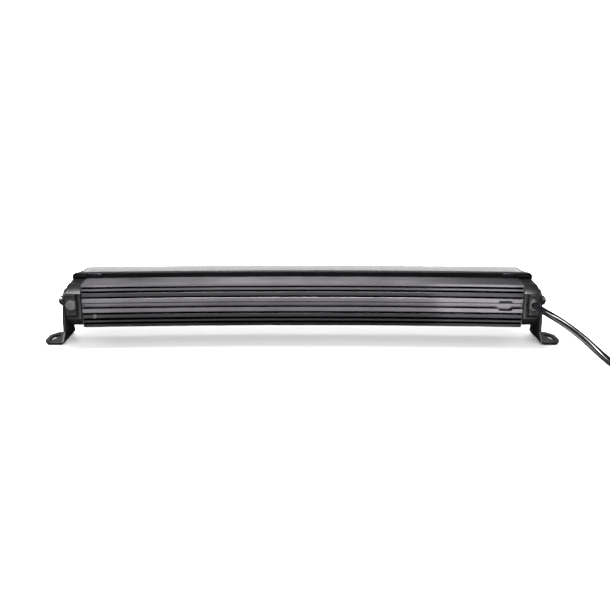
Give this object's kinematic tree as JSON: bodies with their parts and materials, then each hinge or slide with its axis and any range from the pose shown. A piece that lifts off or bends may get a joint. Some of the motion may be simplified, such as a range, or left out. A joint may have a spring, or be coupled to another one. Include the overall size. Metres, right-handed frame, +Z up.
{
  "type": "led light bar",
  "caption": "Slim, gently curved off-road light bar with a finned black housing, clear front lens, tilting end feet and a sealed power lead.",
  "frame": {"origin": "middle of the bar's footprint, at the underside of its two feet, without the lead", "axes": "+X along the bar towards the end with the cable, +Y the way the light shines, +Z up"},
  "size_m": [0.7455, 0.2332, 0.0738],
  "materials": {
    "body_coat": "satin",
    "cap_coat": "satin",
    "frame_coat": "satin",
    "bracket_coat": "satin",
    "clear_lens": "gloss",
    "reflector": "polished",
    "stainless": "satin",
    "black_steel": "satin",
    "spring_steel": "satin",
    "seal_rubber": "matte",
    "gland_rubber": "matte",
    "cable_jacket": "satin",
    "plug_rubber": "matte",
    "plug_plastic": "satin",
    "wedge_plastic": "satin",
    "pin_brass": "satin",
    "tie_plastic": "satin",
    "vent_plastic": "matte",
    "core_board": "matte",
    "fibre_board": "satin",
    "component": "matte",
    "led_package": "gloss",
    "thermal_sheet": "matte",
    "wire_skin": "satin"
  },
  "bodies": {
    "light_bar": {"housing": "body_coat", "breather_vent": "vent_plastic", "right_end_cap": "cap_coat", "left_end_cap": "cap_coat", "end_cap_gaskets": "seal_rubber", "end_cap_screws": "black_steel", "blank_plug": "plug_rubber", "cable_gland": "gland_rubber", "pivot_inserts": "stainless", "front_frame": "frame_coat", "frame_clips": "black_steel", "frame_clip_screws": "stainless", "lens": "clear_lens", "lens_gasket": "seal_rubber", "reflector_cups": "reflector", "reflector_plate": "reflector", "led_board": "core_board", "thermal_pad": "thermal_sheet", "leds": "led_package", "board_screws": "stainless", "driver_pad": "thermal_sheet", "driver_board": "fibre_board", "driver_components": "component", "power_wires": "wire_skin", "pivot_washers": "stainless", "pivot_spring_washers": "spring_steel", "pivot_bolts": "stainless", "power_cable": "cable_jacket", "cable_coil": "cable_jacket", "cable_tail": "cable_jacket", "cable_tie": "tie_plastic", "connector_housing": "plug_plastic", "connector_seal": "gland_rubber", "connector_wedge": "wedge_plastic", "connector_pins": "pin_brass"},
    "right_bracket": {"right_bracket": "bracket_coat"},
    "left_bracket": {"left_bracket": "bracket_coat"}
  },
  "joints": [
    {"name": "right_bracket_tilt", "type": "hinge", "parent": "light_bar", "child": "right_bracket", "pos_m": [0.2818, -0.0217, 0.0465], "axis": [1, 0, 0], "range_deg": [-30, 90]},
    {"name": "left_bracket_tilt", "type": "hinge", "parent": "light_bar", "child": "left_bracket", "pos_m": [-0.2818, -0.0217, 0.0465], "axis": [1, 0, 0], "range_deg": [-30, 90]}
  ]
}
